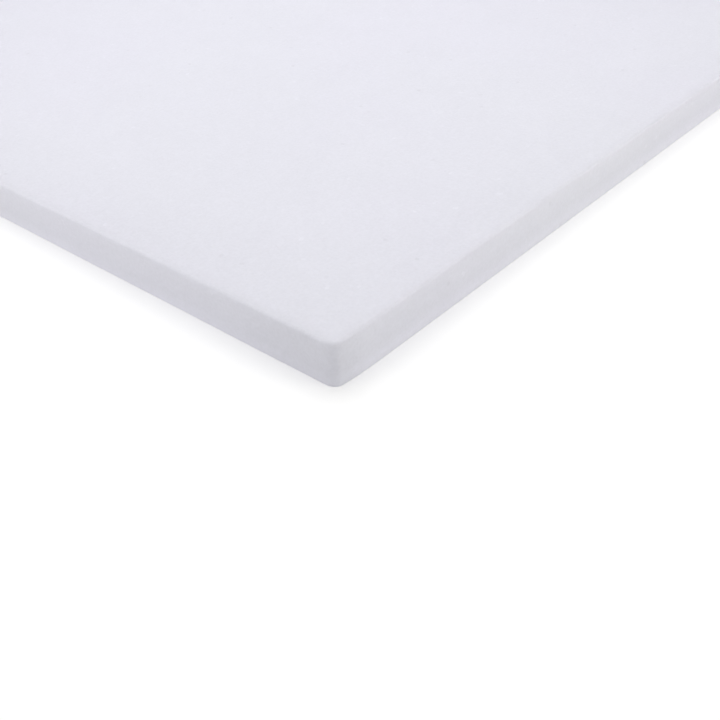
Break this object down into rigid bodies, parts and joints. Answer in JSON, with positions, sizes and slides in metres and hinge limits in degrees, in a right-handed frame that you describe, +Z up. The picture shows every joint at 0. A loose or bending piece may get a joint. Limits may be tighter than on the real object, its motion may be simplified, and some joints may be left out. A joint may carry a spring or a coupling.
{
  "type": "foam board",
  "caption": "Square flat board of fine-celled white foam with straight cut sides and softly rounded corners, for packing, padding and model making.",
  "frame": {"origin": "centre of the lower broad face, which the board lies on", "axes": "+Z up through the board's thickness, +X along its length, +Y along its width"},
  "size_m": [0.5, 0.5, 0.02],
  "materials": {
    "white_foam": "matt cut foam, fine cells, slightly translucent, cool white"
  },
  "bodies": {
    "root": {"foam_board": "white_foam"}
  },
  "joints": []
}
